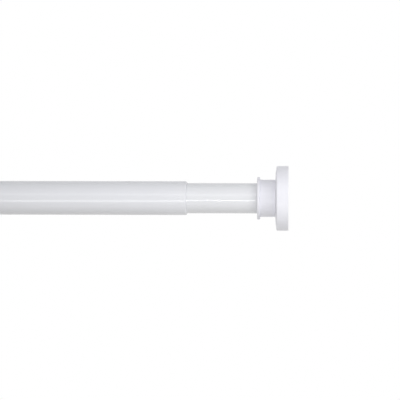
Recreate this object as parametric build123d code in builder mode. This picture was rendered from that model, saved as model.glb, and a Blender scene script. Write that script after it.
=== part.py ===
from build123d import *
from math import radians, sin
import os

# Telescopic shower curtain rod, screwed to two facing walls, in millimetres.
# X runs along the rod from the left wall face, at the screw hole's centre, to the right wall. Z is up.

# Whole rod
closed_length = 750.0       # wall to wall with the inner tube pushed home
travel = 500.0              # how far the rod pulls out from there
pulled_out = 57.6           # how far it is pulled out at rest
closed_gap = 0.3            # outer tube's mouth to right flange when closed
full_overlap = 90.0         # inner tube left inside the outer tube at full reach

# Tubes
outer_tube_diameter = 28.0
tube_wall = 0.6
mouth_roll = 1.2            # radius of the outer tube's mouth, which is rolled in
bush_wall = 0.75            # mouth bush between the two tubes
bush_play = 0.05            # radial, bush in the outer tube
slide_play = 0.1            # radial, inner tube in the mouth bush

# Mouth bush
bush_length = 14.0
bush_inset = 1.4            # back from the tube's mouth, behind its rolled edge
lead_in = 0.4               # funnel that keeps the inner tube off the bush's edge
lead_in_depth = 0.8

# Flange cover
collar_wall = 1.1
socket_play = 0.2           # radial, tube or sleeve in the socket
flange_depth = 25.6         # wall to the socket's mouth
flange_brim = 11.3          # how far the flange stands out round the collar
rim_height = 9.65
dome_rise = 1.1
cover_wall = 2.0
bead_width = 2.4
bead_height = 2.2
rim_round = 0.9
bead_round = 0.8
mouth_chamfer = 0.4
floor_thickness = 2.2
floor_stand = 4.0           # plate's front to the back of the socket's floor
rib_count = 8
rib_thickness = 1.2

# Wall plate
plate_thickness = 2.5
plate_play = 0.3
plate_chamfer = 0.4
relief_depth = 0.6          # hollow in the plate's back, so that it sits on its edge and centre
relief_margin = 4.3         # flat left at the plate's edge
relief_inset = 1.8          # flat left round the boss
screw_hole_diameter = 6.5
countersink_depth = 1.15
boss_land = 1.8
boss_round = 0.5
boss_gap = 0.4              # boss to the edge of the hole in the socket's floor
boss_proud = 0.8            # boss above the socket's floor

# Snap hooks of the wall plate, one on each side of the boss
hook_angles = (0, 180)
hook_width = 4.0
hook_thickness = 1.1
hook_nose = 1.3
hook_head = 0.9
hook_sunk = 0.1             # head below the socket's floor
hook_gap = 1.75             # room outside the hook, in which it bends to let go
hook_play = 0.15
hook_side_play = 0.4
hook_root = 0.5             # stem's overlap with the plate

# Reducer sleeve on the inner tube
sleeve_recess = 0.5
sleeve_slit = 2.0

# Twist lock at the inner tube's inner end
shank_length = 20.0
shank_wall = 2.0
plug_flange = 2.5
ring_play = 0.1             # guide ring in the outer tube, and both rings on the plug
side_play = 0.1
guide_wall = 3.8
guide_width = 8.0
guide_slit = 2.5
ring_chamfer = 0.5
shoulder_width = 1.6
stub_diameter = 14.0
eccentricity = 1.0
twist_angle = 20.0          # each way from the free position to the locked one
locked_gap = 0.02           # lock ring to the outer tube when locked
lock_ring_width = 10.0
lock_ring_slit = 2.0
washer_overlap = 3.0        # washer's edge beyond the stub
washer_thickness = 1.2
lock_screw_diameter = 3.5
lock_screw_length = 12.0
lock_screw_head_diameter = 6.4
lock_screw_head_height = 2.2
lock_screw_recess = 1.2
recess_slot = 1.0
screw_hole_play = 0.3       # washer's hole round the screw

# Radii that follow
outer_radius = outer_tube_diameter / 2
bore_radius = outer_radius - tube_wall
bush_radius = bore_radius - bush_play
inner_radius = bush_radius - bush_wall - slide_play
inner_bore_radius = inner_radius - tube_wall
socket_radius = outer_radius + socket_play
collar_radius = socket_radius + collar_wall
bead_radius = collar_radius + bead_height
rim_radius = collar_radius + flange_brim
dish_radius = rim_radius - cover_wall
screw_hole_radius = screw_hole_diameter / 2
countersink_radius = screw_hole_radius + countersink_depth
boss_radius = countersink_radius + boss_land
floor_hole_radius = boss_radius + boss_gap
plate_radius = dish_radius - plate_play
stub_radius = stub_diameter / 2

# Distances from a wall face that follow
floor_back = plate_thickness + floor_stand
socket_floor = floor_back + floor_thickness
boss_top = socket_floor + boss_proud
ledge = socket_floor - hook_sunk - hook_head
dome_top = rim_height + dome_rise
dome_back = dome_top - cover_wall
rim_back = rim_height - cover_wall

# Places along the rod that follow
rest_length = closed_length + pulled_out
mouth_x = closed_length - flange_depth - closed_gap
bush_end_x = mouth_x - bush_inset
bush_start_x = bush_end_x - bush_length
inner_end_x = mouth_x - full_overlap - (travel - pulled_out)

# Planes that face into the room from each wall, and one at the inner tube's inner end that faces left
left_wall = Plane(origin=(0, 0, 0), x_dir=(0, 1, 0), z_dir=(1, 0, 0))
right_wall = Plane(origin=(rest_length, 0, 0), x_dir=(0, -1, 0), z_dir=(-1, 0, 0))
lock_base = Plane(origin=(inner_end_x, 0, 0), x_dir=(0, -1, 0), z_dir=(-1, 0, 0))


def half_section(base, angle=90):
    """Plane through the base's axis: its x is the distance from the base, its y is the radius."""
    radial = base.x_dir.rotate(Axis((0, 0, 0), base.z_dir), angle)
    return Plane(origin=base.origin, x_dir=base.z_dir, z_dir=base.z_dir.cross(radial))


def axis_of(base):
    """Axis that stands on the base at its origin."""
    return Axis(base.origin, base.z_dir)


def rings(part, base, distance, radius):
    """Circular edges of one radius, at one distance from the base."""
    circles = part.edges().filter_by(GeomType.CIRCLE)
    of_radius = circles.filter_by(lambda edge: abs(edge.radius - radius) < 0.01)
    return of_radius.filter_by(lambda edge: abs(base.to_local_coords(edge.arc_center).Z - distance) < 0.01)


def make_tube(base, start, length, radius, bore):
    """Straight tube along the base's axis."""
    with BuildPart() as tube:
        with BuildSketch(base.offset(start)):
            Circle(radius)
            Circle(bore, mode=Mode.SUBTRACT)
        extrude(amount=length)
    return tube.part


def make_flange_cover(wall):
    """Moulded cover with a domed dish, a beaded collar and a socket, ribbed and hollow at the back."""
    window_edge = socket_radius - hook_gap - hook_thickness - hook_play
    pocket_edge = window_edge - hook_nose
    cut_width = hook_width + 2 * hook_side_play
    rib_inner = (socket_radius + collar_radius) / 2
    rib_outer = (dish_radius + rim_radius) / 2
    with BuildPart() as cover:
        with BuildSketch(half_section(wall)):
            with BuildLine():
                Polyline(
                    (dome_top, collar_radius),
                    (flange_depth - bead_width, collar_radius),
                    (flange_depth - bead_width, bead_radius),
                    (flange_depth, bead_radius),
                    (flange_depth, socket_radius),
                    (socket_floor, socket_radius),
                    (socket_floor, floor_hole_radius),
                    (floor_back, floor_hole_radius),
                    (floor_back, socket_radius),
                    (plate_thickness, socket_radius),
                    (plate_thickness, collar_radius),
                    (dome_back, collar_radius),
                )
                TangentArc((dome_back, collar_radius), (rim_back, dish_radius), tangent=(0, 1))
                Polyline(
                    (rim_back, dish_radius),
                    (0, dish_radius),
                    (0, rim_radius),
                    (rim_height, rim_radius),
                )
                TangentArc((dome_top, collar_radius), (rim_height, rim_radius), tangent=(0, 1))
            make_face()
        revolve(axis=axis_of(wall))
        # Ribs stiffen the dish and bear on the wall plate.
        for rib in range(rib_count):
            with BuildSketch(half_section(wall, (rib + 0.5) * 360 / rib_count)):
                with BuildLine():
                    Polyline(
                        (plate_thickness, rib_inner),
                        (plate_thickness, rib_outer),
                        (rim_height - cover_wall / 2, rib_outer),
                        (dome_top - cover_wall / 2, rib_inner),
                        close=True,
                    )
                make_face()
            extrude(amount=rib_thickness / 2, both=True)
        # Each hook passes through a window, and its nose sits in a pocket beside it.
        for angle in hook_angles:
            with BuildSketch(half_section(wall, angle)):
                with BuildLine():
                    Polyline(
                        (floor_back, socket_radius),
                        (floor_back, window_edge),
                        (ledge, window_edge),
                        (ledge, pocket_edge),
                        (socket_floor, pocket_edge),
                        (socket_floor, socket_radius),
                        close=True,
                    )
                make_face()
            extrude(amount=cut_width / 2, both=True, mode=Mode.SUBTRACT)
        fillet(rings(cover, wall, rim_height, rim_radius), rim_round)
        fillet(rings(cover, wall, flange_depth, bead_radius), bead_round)
        fillet(rings(cover, wall, flange_depth - bead_width, bead_radius), bead_round)
        chamfer(rings(cover, wall, flange_depth, socket_radius), mouth_chamfer)
    return cover.part


def make_wall_plate(wall):
    """Plate that is screwed to the wall, with a hollow boss and two snap hooks that hold the cover."""
    stem_outer = socket_radius - hook_gap
    stem_inner = stem_outer - hook_thickness
    nose = stem_inner - hook_nose
    head_top = ledge + hook_head
    with BuildPart() as plate:
        with BuildSketch(half_section(wall)):
            with BuildLine():
                Polyline(
                    (0, screw_hole_radius),
                    (0, boss_radius + relief_inset),
                    (relief_depth, boss_radius + relief_inset),
                    (relief_depth, plate_radius - relief_margin),
                    (0, plate_radius - relief_margin),
                    (0, plate_radius),
                    (plate_thickness, plate_radius),
                    (plate_thickness, boss_radius),
                    (boss_top, boss_radius),
                    (boss_top, countersink_radius),
                    (boss_top - countersink_depth, screw_hole_radius),
                    close=True,
                )
            make_face()
        revolve(axis=axis_of(wall))
        for angle in hook_angles:
            with BuildSketch(half_section(wall, angle)):
                with BuildLine():
                    Polyline(
                        (plate_thickness - hook_root, stem_inner),
                        (plate_thickness - hook_root, stem_outer),
                        (head_top, stem_outer),
                        (head_top, nose + hook_head / 2),
                        (ledge + hook_head / 2, nose),
                        (ledge, nose),
                        (ledge, stem_inner),
                        close=True,
                    )
                make_face()
            extrude(amount=hook_width / 2, both=True)
        fillet(rings(plate, wall, boss_top, boss_radius), boss_round)
        chamfer(rings(plate, wall, 0, plate_radius), plate_chamfer)
    return plate.part


def make_split_ring(base, start, width, radius, bore, bore_offset, slit):
    """Ring that is cut through on its upper side, with bevelled outer edges."""
    with BuildPart() as ring:
        with BuildSketch(base.offset(start)):
            Circle(radius)
            with Locations((0, bore_offset)):
                Circle(bore, mode=Mode.SUBTRACT)
            with Locations((0, radius)):
                Rectangle(slit, 2 * (radius - bore_offset), mode=Mode.SUBTRACT)
        extrude(amount=width)
        for edge_distance in (start, start + width):
            chamfer(rings(ring, base, edge_distance, radius), ring_chamfer)
    return ring.part


# Outer tube: white coated aluminium, from the left socket's floor to a mouth that is rolled in
lip_radius = outer_radius - mouth_roll
with BuildPart() as outer_tube:
    with BuildSketch(half_section(left_wall)):
        with BuildLine():
            Polyline(
                (mouth_x - mouth_roll, bore_radius),
                (socket_floor, bore_radius),
                (socket_floor, outer_radius),
                (mouth_x - mouth_roll, outer_radius),
            )
            TangentArc((mouth_x - mouth_roll, outer_radius), (mouth_x, lip_radius), tangent=(1, 0))
            Line((mouth_x, lip_radius), (mouth_x - tube_wall, lip_radius))
            TangentArc(
                (mouth_x - tube_wall, lip_radius), (mouth_x - mouth_roll, bore_radius), tangent=(0, 1)
            )
        make_face()
    revolve(axis=axis_of(left_wall))

# Mouth bush: plastic liner pressed into the outer tube's mouth, which takes up the play round the inner tube
bush_bore_radius = inner_radius + slide_play
with BuildPart() as mouth_bush:
    with BuildSketch(half_section(left_wall)):
        with BuildLine():
            Polyline(
                (bush_start_x, bush_bore_radius),
                (bush_start_x, bush_radius),
                (bush_end_x, bush_radius),
                (bush_end_x, bush_bore_radius + lead_in),
                (bush_end_x - lead_in_depth, bush_bore_radius),
                close=True,
            )
        make_face()
    revolve(axis=axis_of(left_wall))

# Inner tube: slides in the bush and stands on the floor of the right flange's socket
inner_tube_length = rest_length - socket_floor - inner_end_x
inner_tube = make_tube(left_wall, inner_end_x, inner_tube_length, inner_radius, inner_bore_radius)

# Reducer sleeve: split plastic sleeve that fills the right socket round the thinner inner tube
sleeve_length = flange_depth - sleeve_recess - socket_floor
reducer_sleeve = make_split_ring(
    right_wall, socket_floor, sleeve_length, outer_radius, inner_radius, 0, sleeve_slit
)

# Places along the twist lock, as distances from the inner tube's end
journal_start = plug_flange
journal_end = journal_start + guide_width + 2 * side_play
stub_start = journal_end + shoulder_width
stub_end = stub_start + lock_ring_width + 2 * side_play
head_start = stub_end + washer_thickness

# Lock plug: pressed into the inner tube, with a journal for the guide ring and an eccentric stub
guide_radius = bore_radius - ring_play
guide_bore_radius = guide_radius - guide_wall
journal_radius = guide_bore_radius - ring_play
with BuildPart() as lock_plug:
    with BuildSketch(half_section(lock_base)):
        with BuildLine():
            Polyline(
                (-shank_length, inner_bore_radius - shank_wall),
                (-shank_length, inner_bore_radius),
                (0, inner_bore_radius),
                (0, inner_radius),
                (plug_flange, inner_radius),
                (journal_start, journal_radius),
                (journal_end, journal_radius),
                (journal_end, inner_bore_radius),
                (stub_start, inner_bore_radius),
                (stub_start, 0),
                (-shank_wall, 0),
                (-shank_wall, inner_bore_radius - shank_wall),
                close=True,
            )
        make_face()
    revolve(axis=axis_of(lock_base))
    with BuildSketch(lock_base.offset(stub_start)):
        with Locations((0, eccentricity)):
            Circle(stub_radius)
    extrude(amount=stub_end - stub_start)
    with BuildSketch(lock_base.offset(stub_end)):
        with Locations((0, eccentricity)):
            Circle(lock_screw_diameter / 2)
    extrude(amount=-lock_screw_length, mode=Mode.SUBTRACT)

# Guide ring: split nylon ring that slides in the outer tube and keeps the inner tube's end central
guide_ring = make_split_ring(
    lock_base, journal_start + side_play, guide_width, guide_radius, guide_bore_radius, 0, guide_slit
)

# Lock ring: its bore is as far off centre as the stub, so a twist moves it sideways against the tube
lock_throw = 2 * eccentricity * sin(radians(twist_angle / 2))
lock_radius = bore_radius - lock_throw - locked_gap
lock_ring = make_split_ring(
    lock_base, stub_start + side_play, lock_ring_width, lock_radius, stub_radius + ring_play,
    eccentricity, lock_ring_slit
)

# Lock washer: keeps the lock ring on its stub
with BuildPart() as lock_washer:
    with BuildSketch(lock_base.offset(stub_end)):
        with Locations((0, eccentricity)):
            Circle(stub_radius + washer_overlap)
            Circle(lock_screw_diameter / 2 + screw_hole_play, mode=Mode.SUBTRACT)
    extrude(amount=washer_thickness)

# Lock screw: pan head with a cross recess, in the stub
screw_base = Plane(
    origin=lock_base.from_local_coords((0, eccentricity, 0)), x_dir=lock_base.x_dir, z_dir=lock_base.z_dir
)
head_end = head_start + lock_screw_head_height
with BuildPart() as lock_screw:
    with BuildSketch(half_section(screw_base)):
        with BuildLine():
            Polyline(
                (head_end, 0),
                (stub_end - lock_screw_length, 0),
                (stub_end - lock_screw_length, lock_screw_diameter / 2),
                (head_start, lock_screw_diameter / 2),
                (head_start, lock_screw_head_diameter / 2),
            )
            TangentArc((head_end, 0), (head_start, lock_screw_head_diameter / 2), tangent=(0, 1))
        make_face()
    revolve(axis=axis_of(screw_base))
    with BuildSketch(screw_base.offset(head_end)):
        Rectangle(lock_screw_diameter, recess_slot)
        Rectangle(recess_slot, lock_screw_diameter)
    extrude(amount=-lock_screw_recess, mode=Mode.SUBTRACT)

pieces = {
    "outer_tube": outer_tube.part,
    "mouth_bush": mouth_bush.part,
    "flange_cover_left": make_flange_cover(left_wall),
    "wall_plate_left": make_wall_plate(left_wall),
    "guide_ring": guide_ring,
    "inner_tube": inner_tube,
    "reducer_sleeve": reducer_sleeve,
    "flange_cover_right": make_flange_cover(right_wall),
    "wall_plate_right": make_wall_plate(right_wall),
    "lock_plug": lock_plug.part,
    "lock_washer": lock_washer.part,
    "lock_screw": lock_screw.part,
    "lock_ring": lock_ring,
}
os.makedirs("parts", exist_ok=True)
for name, piece in pieces.items():
    piece.label = name
    export_step(piece, f"parts/{name}.step")
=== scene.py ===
import math

import bpy
from mathutils import Euler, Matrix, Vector


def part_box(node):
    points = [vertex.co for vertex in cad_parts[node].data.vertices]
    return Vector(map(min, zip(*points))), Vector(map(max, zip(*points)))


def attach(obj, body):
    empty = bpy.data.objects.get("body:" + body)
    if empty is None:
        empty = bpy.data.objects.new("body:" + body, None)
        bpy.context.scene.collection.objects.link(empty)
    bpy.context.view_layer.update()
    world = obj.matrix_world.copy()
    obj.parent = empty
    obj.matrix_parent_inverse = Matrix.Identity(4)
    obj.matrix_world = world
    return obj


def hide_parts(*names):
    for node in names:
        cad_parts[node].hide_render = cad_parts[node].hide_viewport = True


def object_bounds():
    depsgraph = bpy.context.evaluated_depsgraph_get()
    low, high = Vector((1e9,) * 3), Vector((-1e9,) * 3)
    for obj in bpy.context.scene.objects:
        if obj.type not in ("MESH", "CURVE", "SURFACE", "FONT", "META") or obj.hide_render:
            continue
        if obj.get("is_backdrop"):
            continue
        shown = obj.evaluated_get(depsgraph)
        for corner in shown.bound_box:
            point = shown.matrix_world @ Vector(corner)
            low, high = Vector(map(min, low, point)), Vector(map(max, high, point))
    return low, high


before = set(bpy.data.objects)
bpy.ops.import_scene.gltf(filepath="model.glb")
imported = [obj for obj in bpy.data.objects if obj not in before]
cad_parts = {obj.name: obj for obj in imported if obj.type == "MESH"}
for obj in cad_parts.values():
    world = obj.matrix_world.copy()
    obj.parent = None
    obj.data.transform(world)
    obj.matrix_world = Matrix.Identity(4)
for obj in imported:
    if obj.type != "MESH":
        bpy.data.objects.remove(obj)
cad_low, cad_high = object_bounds()


# Outer tube: drawn aluminium tube, 28 mm across with a 0.6 mm wall, powder coated white.
# It is sawn to length, rolled in at its mouth, and carries the curtain rings.
MM = 0.001


def linear(code):
    """Linear RGBA of an sRGB hex colour."""
    channels = [int(code[i:i + 2], 16) / 255 for i in (1, 3, 5)]
    return [c / 12.92 if c <= 0.04045 else ((c + 0.055) / 1.055) ** 2.4 for c in channels] + [1.0]


def add(tree, kind, links=(), **settings):
    """Adds a node. A setting names a property or an input; a link is (input, node, output)."""
    node = tree.nodes.new(kind)
    inputs = {}
    for name, value in settings.items():
        if name in node.bl_rna.properties:
            setattr(node, name, value)
        else:
            inputs[name] = value
    for name, value in inputs.items():
        node.inputs[name.replace("_", " ")].default_value = value
    for target, source, output in links:
        tree.links.new(source.outputs[output], node.inputs[target])
    return node


def new_material(name):
    """Empty node material, with its tree."""
    material = bpy.data.materials.new(name)
    material.use_nodes = True
    material.node_tree.nodes.clear()
    return material, material.node_tree


def powder_coated_aluminium(name, colour, roughness, peel_depth):
    """Polyester powder coat on aluminium: a hard, nearly smooth white film.
    It melts and flows in the oven, which leaves a faint orange peel that makes reflections waver.
    Its thickness drifts along the tube, so its shade and its gloss vary slowly."""
    peel_size = 2.4 * MM
    grain_size = 0.35 * MM
    grain_depth = 0.1 * peel_depth
    cloud_size = 30 * MM
    gloss_drift = 0.03
    thinnest_shade = 0.985
    black = [0.0, 0.0, 0.0, 1.0]
    material, tree = new_material(name)
    place = add(tree, "ShaderNodeTexCoord")
    peel = add(tree, "ShaderNodeTexNoise", [("Vector", place, "Object")],
               Scale=1 / peel_size, Detail=2.0, Roughness=0.45)
    grain = add(tree, "ShaderNodeTexNoise", [("Vector", place, "Object")],
                Scale=1 / grain_size, Detail=1.0)
    cloud = add(tree, "ShaderNodeTexNoise", [("Vector", place, "Object")],
                Scale=1 / cloud_size, Detail=2.0)
    fine = add(tree, "ShaderNodeBump", [("Height", grain, "Fac")],
               Strength=0.5, Distance=grain_depth)
    bump = add(tree, "ShaderNodeBump", [("Height", peel, "Fac"), ("Normal", fine, "Normal")],
               Strength=1.0, Distance=peel_depth)
    gloss = add(tree, "ShaderNodeMapRange", [("Value", cloud, "Fac")], From_Min=0.35, From_Max=0.65,
                To_Min=roughness - gloss_drift, To_Max=roughness + gloss_drift)
    shade = add(tree, "ShaderNodeMapRange", [("Value", cloud, "Fac")], From_Min=0.3, From_Max=0.7,
                To_Min=thinnest_shade, To_Max=1.0)
    tint = add(tree, "ShaderNodeMix", [("Factor", shade, "Result")],
               data_type="RGBA", A=black, B=linear(colour))
    shader = add(tree, "ShaderNodeBsdfPrincipled",
                 [("Base Color", tint, "Result"), ("Roughness", gloss, "Result"),
                  ("Normal", bump, "Normal")], IOR=1.5)
    add(tree, "ShaderNodeOutputMaterial", [("Surface", shader, "BSDF")])
    return material


def tube_tree():
    """Node tree for a tube along X: the section of its wall is carried round a circle.
    The section has six corners when the tube's far end is rolled in, and four when it isn't."""
    corner_facets = 6
    weld_distance = 0.001 * MM
    tree = bpy.data.node_groups.new("drawn tube", "GeometryNodeTree")
    sockets = tree.interface
    sockets.new_socket("Geometry", in_out="OUTPUT", socket_type="NodeSocketGeometry")
    for name in ("Start", "Length", "Outer radius", "Wall", "Roll", "Edge round"):
        sockets.new_socket(name, in_out="INPUT", socket_type="NodeSocketFloat")
    for name in ("Corners", "Sides"):
        sockets.new_socket(name, in_out="INPUT", socket_type="NodeSocketInt")
    sockets.new_socket("Material", in_out="INPUT", socket_type="NodeSocketMaterial")
    given = add(tree, "NodeGroupInput")
    lip_back = add(tree, "ShaderNodeMath", [(0, given, "Length"), (1, given, "Wall")],
                   operation="SUBTRACT")
    outer_bend = add(tree, "ShaderNodeMath", [(0, given, "Roll"), (1, given, "Edge round")],
                     operation="SUBTRACT")
    inner_bend = add(tree, "ShaderNodeMath", [(0, outer_bend, 0), (1, given, "Wall")],
                     operation="SUBTRACT")
    # Each corner has the links for its depth below the outer surface (X) and its distance from
    # the start (Y), and then the source of its radius.
    section = [
        ([("X", given, "Wall")], (given, "Edge round")),
        ([], (given, "Edge round")),
        ([("Y", given, "Length")], (outer_bend, 0)),
        ([("X", given, "Roll"), ("Y", given, "Length")], (given, "Edge round")),
        ([("X", given, "Roll"), ("Y", lip_back, 0)], (given, "Edge round")),
        ([("X", given, "Wall"), ("Y", lip_back, 0)], (inner_bend, 0))]
    order = add(tree, "GeometryNodeInputIndex")
    place = add(tree, "GeometryNodeIndexSwitch", [("Index", order, "Index")], data_type="VECTOR")
    bend = add(tree, "GeometryNodeIndexSwitch", [("Index", order, "Index")], data_type="FLOAT")
    for corner, (links, (source, output)) in enumerate(section):
        # An index switch starts with two items, and its first input is the index.
        if corner > 1:
            place.index_switch_items.new()
            bend.index_switch_items.new()
        point = add(tree, "ShaderNodeCombineXYZ", links)
        tree.links.new(point.outputs[0], place.inputs[corner + 1])
        tree.links.new(source.outputs[output], bend.inputs[corner + 1])
    points = add(tree, "GeometryNodePoints", [("Count", given, "Corners"), ("Position", place, 0)])
    outline = add(tree, "GeometryNodePointsToCurves", [("Points", points, 0)])
    closed = add(tree, "GeometryNodeSetSplineCyclic", [("Geometry", outline, 0)], Cyclic=True)
    rounded = add(tree, "GeometryNodeFilletCurve", [("Curve", closed, 0), ("Radius", bend, 0)],
                  mode="POLY", Count=corner_facets)
    # The section is turned half round, so that its depths point to the middle of the circle.
    turned = add(tree, "GeometryNodeTransform", [("Geometry", rounded, 0)],
                 Rotation=Euler((0.0, 0.0, math.pi)))
    circle = add(tree, "GeometryNodeCurvePrimitiveCircle",
                 [("Radius", given, "Outer radius"), ("Resolution", given, "Sides")])
    skin = add(tree, "GeometryNodeCurveToMesh", [("Curve", circle, 0), ("Profile Curve", turned, 0)])
    shift = add(tree, "ShaderNodeCombineXYZ", [("X", given, "Start")])
    laid = add(tree, "GeometryNodeTransform", [("Geometry", skin, "Mesh"), ("Translation", shift, 0)],
               Rotation=Euler((0.0, math.pi / 2, 0.0)))
    welded = add(tree, "GeometryNodeMergeByDistance", [("Geometry", laid, 0)], Distance=weld_distance)
    outward = add(tree, "GeometryNodeFlipFaces", [("Mesh", welded, 0)])
    smooth = add(tree, "GeometryNodeSetShadeSmooth", [("Geometry", outward, 0)])
    real = add(tree, "GeometryNodeRealizeInstances", [("Geometry", smooth, 0)])
    dressed = add(tree, "GeometryNodeSetMaterial",
                  [("Geometry", real, 0), ("Material", given, "Material")])
    add(tree, "NodeGroupOutput", [("Geometry", dressed, 0)])
    return tree


def grown(name, tree, values):
    """Plain mesh object made by a node tree with the values given for its named inputs.
    Its normals lean to the larger faces, so that the long walls stay straight in reflections."""
    full_weight = 100
    seed_mesh = bpy.data.meshes.new(name + "_seed")
    maker = bpy.data.objects.new(name + "_maker", seed_mesh)
    bpy.context.scene.collection.objects.link(maker)
    modifier = maker.modifiers.new("nodes", "NODES")
    modifier.node_group = tree
    for socket in tree.interface.items_tree:
        if socket.name in values:
            modifier[socket.identifier] = values[socket.name]
    weights = maker.modifiers.new("weights", "WEIGHTED_NORMAL")
    weights.weight = full_weight
    maker.update_tag()
    depsgraph = bpy.context.evaluated_depsgraph_get()
    mesh = bpy.data.meshes.new_from_object(maker.evaluated_get(depsgraph))
    mesh.name = name
    bpy.data.objects.remove(maker)
    piece = bpy.data.objects.new(name, mesh)
    bpy.context.scene.collection.objects.link(piece)
    return piece


tube_wall = 0.6 * MM
mouth_roll = 1.2 * MM
edge_round = 0.1 * MM
corners_rolled_in = 6
corners_plain = 4
tube_sides = 192
drawn_tube = tube_tree()
outer_coat = powder_coated_aluminium("powder coated aluminium, outer tube", "#EBECF1",
                                     roughness=0.17, peel_depth=0.005 * MM)
low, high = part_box("outer_tube")
outer_tube = grown("outer_tube_coated", drawn_tube, {
    "Start": low.x, "Length": high.x - low.x, "Outer radius": high.z, "Wall": tube_wall,
    "Roll": mouth_roll, "Edge round": edge_round, "Corners": corners_rolled_in,
    "Sides": tube_sides, "Material": outer_coat})
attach(outer_tube, "root")
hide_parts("outer_tube")


# Inner tube: the same kind of tube, 25 mm across and cut off plain, which slides in the outer one.
# Its coat is a little glossier, since it is buffed so that it runs easily in the bush.
inner_coat = powder_coated_aluminium("powder coated aluminium, inner tube", "#ECEDF1",
                                     roughness=0.11, peel_depth=0.003 * MM)
low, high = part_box("inner_tube")
inner_tube = grown("inner_tube_coated", drawn_tube, {
    "Start": low.x, "Length": high.x - low.x, "Outer radius": high.z, "Wall": tube_wall,
    "Roll": tube_wall, "Edge round": edge_round, "Corners": corners_plain,
    "Sides": tube_sides, "Material": inner_coat})
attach(inner_tube, "inner")
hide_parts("inner_tube")


# Flange covers: white ABS, injection moulded in a polished mould, with a softer shine than the tubes.
# One snaps on to the wall plate at each end, and holds the end of the tube in its socket.
def moulded_plastic(name, colour, roughness, texture_size, texture_depth):
    """Moulded plastic: it copies the mould's surface, which gives its shine or its satin look.
    Where the melt shrank it is slightly wavy, so reflections bend and the gloss varies slowly."""
    wave_size = 12 * MM
    wave_depth = 0.03 * MM
    gloss_drift = 0.03
    material, tree = new_material(name)
    place = add(tree, "ShaderNodeTexCoord")
    texture = add(tree, "ShaderNodeTexNoise", [("Vector", place, "Object")],
                  Scale=1 / texture_size, Detail=3.0, Roughness=0.5)
    waves = add(tree, "ShaderNodeTexNoise", [("Vector", place, "Object")],
                Scale=1 / wave_size, Detail=1.0)
    wavy = add(tree, "ShaderNodeBump", [("Height", waves, "Fac")], Strength=1.0, Distance=wave_depth)
    bump = add(tree, "ShaderNodeBump", [("Height", texture, "Fac"), ("Normal", wavy, "Normal")],
               Strength=1.0, Distance=texture_depth)
    gloss = add(tree, "ShaderNodeMapRange", [("Value", waves, "Fac")], From_Min=0.35, From_Max=0.65,
                To_Min=roughness - gloss_drift, To_Max=roughness + gloss_drift)
    shader = add(tree, "ShaderNodeBsdfPrincipled",
                 [("Roughness", gloss, "Result"), ("Normal", bump, "Normal")],
                 Base_Color=linear(colour), IOR=1.53)
    add(tree, "ShaderNodeOutputMaterial", [("Surface", shader, "BSDF")])
    return material


def dress(node, material):
    """Gives a CAD node its material."""
    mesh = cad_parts[node].data
    mesh.materials.clear()
    mesh.materials.append(material)


cover_plastic = moulded_plastic("polished ABS", "#F0F0F7", roughness=0.36,
                                texture_size=0.6 * MM, texture_depth=0.002 * MM)
for node in ("flange_cover_left", "flange_cover_right"):
    dress(node, cover_plastic)


# Wall plates: one is screwed to each wall, and carries the two snap hooks that hold its cover.
# They are moulded in ABS too, with the mould's spark texture left on, because nobody sees them.
plate_plastic = moulded_plastic("spark textured ABS", "#DDDFE4", roughness=0.5,
                                texture_size=0.25 * MM, texture_depth=0.008 * MM)
for node in ("wall_plate_left", "wall_plate_right"):
    dress(node, plate_plastic)


# Mouth bush, which takes up the play at the outer tube's mouth, and reducer sleeve, which packs out
# the right socket round the thinner tube. Both are satin white acetal, which slides well on the coat.
bush_plastic = moulded_plastic("white acetal", "#E4E5E8", roughness=0.4,
                               texture_size=0.3 * MM, texture_depth=0.003 * MM)
for node in ("mouth_bush", "reducer_sleeve"):
    dress(node, bush_plastic)


# Twist lock: a guide ring and a plug at the inner tube's inner end, and a lock ring on the plug's
# eccentric stub. They are moulded in natural nylon, and are hidden in the outer tube.
lock_nylon = moulded_plastic("natural nylon", "#E6E2D2", roughness=0.45,
                             texture_size=0.3 * MM, texture_depth=0.004 * MM)
for node in ("guide_ring", "lock_plug", "lock_ring"):
    dress(node, lock_nylon)


# Lock washer and lock screw: they keep the lock ring on its stub.
# Both are zinc plated steel, the washer stamped from strip and the screw cold headed from wire.
def zinc_plated_steel():
    """Zinc plate over steel: bright grey, with the fine lines of tumbling in the plating barrel."""
    scuff_size = 0.4 * MM
    scuff_depth = 0.004 * MM
    brightest_roughness = 0.25
    dullest_roughness = 0.45
    material, tree = new_material("zinc plated steel")
    place = add(tree, "ShaderNodeTexCoord")
    scuffs = add(tree, "ShaderNodeTexNoise", [("Vector", place, "Object")],
                 Scale=1 / scuff_size, Detail=4.0, Distortion=1.5)
    gloss = add(tree, "ShaderNodeMapRange", [("Value", scuffs, "Fac")], From_Min=0.3, From_Max=0.7,
                To_Min=brightest_roughness, To_Max=dullest_roughness)
    bump = add(tree, "ShaderNodeBump", [("Height", scuffs, "Fac")],
               Strength=0.6, Distance=scuff_depth)
    shader = add(tree, "ShaderNodeBsdfPrincipled",
                 [("Roughness", gloss, "Result"), ("Normal", bump, "Normal")],
                 Base_Color=linear("#C4C6C8"), Metallic=1.0)
    add(tree, "ShaderNodeOutputMaterial", [("Surface", shader, "BSDF")])
    return material


zinc = zinc_plated_steel()
for node in ("lock_washer", "lock_screw"):
    dress(node, zinc)


# Floor: a wide, pale studio floor, a metre under the rod, of matt board.
# It shows white and keeps the rod's shadow.
def background_rays(tree):
    """Node that gives 1 for rays that see the background: the camera's own, or by gloss or glass."""
    path = add(tree, "ShaderNodeLightPath")
    seen = add(tree, "ShaderNodeMath", [(0, path, "Is Camera Ray"), (1, path, "Is Glossy Ray")],
               operation="MAXIMUM")
    return add(tree, "ShaderNodeMath", [(0, seen, 0), (1, path, "Is Transmission Ray")],
               operation="MAXIMUM")


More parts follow.
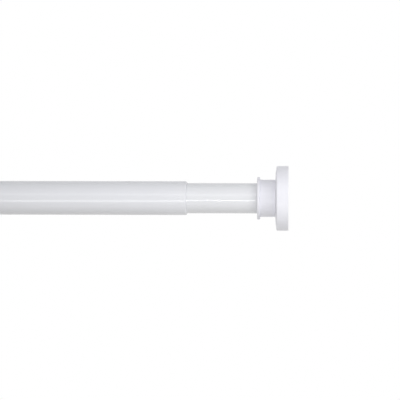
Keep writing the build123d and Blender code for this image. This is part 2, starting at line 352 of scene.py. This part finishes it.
def studio_white():
    """Matt white board, a little warm, with a faint tooth.
    It is lifted to white where the background is seen, so that only shadows show on it."""
    tooth_size = 2 * MM
    tooth_depth = 0.05 * MM
    board_lift = 0.72
    material, tree = new_material("matt white board")
    place = add(tree, "ShaderNodeTexCoord")
    tooth = add(tree, "ShaderNodeTexNoise", [("Vector", place, "Object")],
                Scale=1 / tooth_size, Detail=2.0)
    bump = add(tree, "ShaderNodeBump", [("Height", tooth, "Fac")],
               Strength=0.3, Distance=tooth_depth)
    board = add(tree, "ShaderNodeBsdfDiffuse", [("Normal", bump, "Normal")], Color=linear("#DBDAD6"))
    lift = add(tree, "ShaderNodeMath", [(0, background_rays(tree), 0)], operation="MULTIPLY")
    lift.inputs[1].default_value = board_lift
    glow = add(tree, "ShaderNodeEmission", [("Strength", lift, 0)])
    both = add(tree, "ShaderNodeAddShader", [(0, board, 0), (1, glow, 0)])
    add(tree, "ShaderNodeOutputMaterial", [("Surface", both, 0)])
    # The glow only shows, and lights nothing, so no light is sampled from it.
    material.cycles.emission_sampling = "NONE"
    return material


floor_drop = 1.0
floor_half = 6.0
middle_x = (cad_low[0] + cad_high[0]) / 2
corners = [(middle_x - floor_half, -floor_half), (middle_x + floor_half, -floor_half),
           (middle_x + floor_half, floor_half), (middle_x - floor_half, floor_half)]
floor_mesh = bpy.data.meshes.new("floor")
floor_mesh.from_pydata([(x, y, -floor_drop) for x, y in corners], [], [(0, 1, 2, 3)])
floor_mesh.materials.append(studio_white())
floor = bpy.data.objects.new("floor", floor_mesh)
bpy.context.scene.collection.objects.link(floor)
floor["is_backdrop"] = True


# Surroundings: an even white room, in which the camera, gloss and glass see plain white.
# It lights the object at about a third of that strength, and the lamps do the rest.
ambient = 0.34
white = [1.0, 1.0, 1.0, 1.0]
world = bpy.data.worlds.new("white room")
bpy.context.scene.world = world
world.use_nodes = True
# The room is even, so nothing is gained by aiming rays at it.
world.cycles.sampling_method = "NONE"
room = world.node_tree
room.nodes.clear()
lighting = add(room, "ShaderNodeBackground", Color=white, Strength=ambient)
backdrop = add(room, "ShaderNodeBackground", Color=white, Strength=1.0)
either = add(room, "ShaderNodeMixShader",
             [(0, background_rays(room), 0), (1, lighting, 0), (2, backdrop, 0)])
add(room, "ShaderNodeOutputWorld", [("Surface", either, 0)])


# Lamps: soft boxes above and below the camera's line, a far one at the left, and one behind the rod
# for its back. The tubes mirror only three strips: a soft one above the camera, and two narrow ones
# below it that draw the thin bright line along each tube.
wall_x = cad_high[0]


def soft_box(name, above, away, right, size, power, shine):
    """Area lamp aimed at the right flange. It stands above the camera's line by an angle in degrees,
    away from the rod and right of the wall face by distances in metres, and size is its width and
    height. Without shine it lights the object but isn't mirrored in it."""
    lamp = bpy.data.lights.new(name, "AREA")
    lamp.shape = "RECTANGLE"
    lamp.size, lamp.size_y = size
    lamp.energy = power
    box = bpy.data.objects.new(name, lamp)
    target = Vector((wall_x, 0.0, 0.0))
    angle = math.radians(above)
    box.location = target + Vector((right, -away * math.cos(angle), away * math.sin(angle)))
    box.rotation_euler = (target - box.location).to_track_quat("-Z", "Y").to_euler()
    box.visible_camera = False
    box.visible_glossy = shine
    bpy.context.scene.collection.objects.link(box)


soft_box("left box", above=30, away=1.1, right=-1.2, size=(0.5, 0.4), power=2.5, shine=False)
soft_box("upper box", above=30, away=0.4, right=0.02, size=(0.3, 0.25), power=0.4, shine=False)
soft_box("upper right box", above=30, away=0.7, right=0.7, size=(0.5, 0.35), power=2.1, shine=False)
soft_box("lower box", above=-35, away=0.4, right=0.02, size=(0.3, 0.2), power=0.27, shine=False)
soft_box("lower right box", above=-35, away=0.7, right=0.7, size=(0.5, 0.35), power=1.25,
         shine=False)
soft_box("upper strip", above=24, away=1.1, right=-0.22, size=(0.45, 0.1), power=0.38, shine=True)
soft_box("outer tube's strip", above=-20.7, away=1.1, right=-0.305, size=(0.3, 0.03), power=0.8,
         shine=True)
soft_box("inner tube's strip", above=-17.5, away=1.1, right=-0.085, size=(0.14, 0.03), power=0.45,
         shine=True)
soft_box("back box", above=180, away=1.5, right=-0.4, size=(1.6, 1.0), power=9.0, shine=False)


# Camera: a long lens in the plane of the right wall face, level with the rod and turned left on to it.
# The rod's left part runs out of the frame. Distances are in metres.
camera_back = 1.35
aim_left = 0.0728
aim_down = 0.0015
frame_width = 0.3298
roll = math.radians(0.12)
sensor_width_mm = 36.0
lens_data = bpy.data.cameras.new("camera")
camera = bpy.data.objects.new("camera", lens_data)
camera.location = (wall_x, -camera_back, 0.0)
sight = Vector((wall_x - aim_left, 0.0, -aim_down)) - camera.location
level = sight.to_track_quat("-Z", "Y").to_matrix()
camera.rotation_euler = (level @ Euler((0, 0, roll)).to_matrix()).to_euler()
lens_data.sensor_width = sensor_width_mm
lens_data.lens = sensor_width_mm * sight.length / frame_width
bpy.context.scene.collection.objects.link(camera)
bpy.context.scene.camera = camera
bpy.context.scene.view_settings.view_transform = "Standard"


# Sizes: the CAD model's box and the visual model's box, kept so that the two can be compared.
low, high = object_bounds()
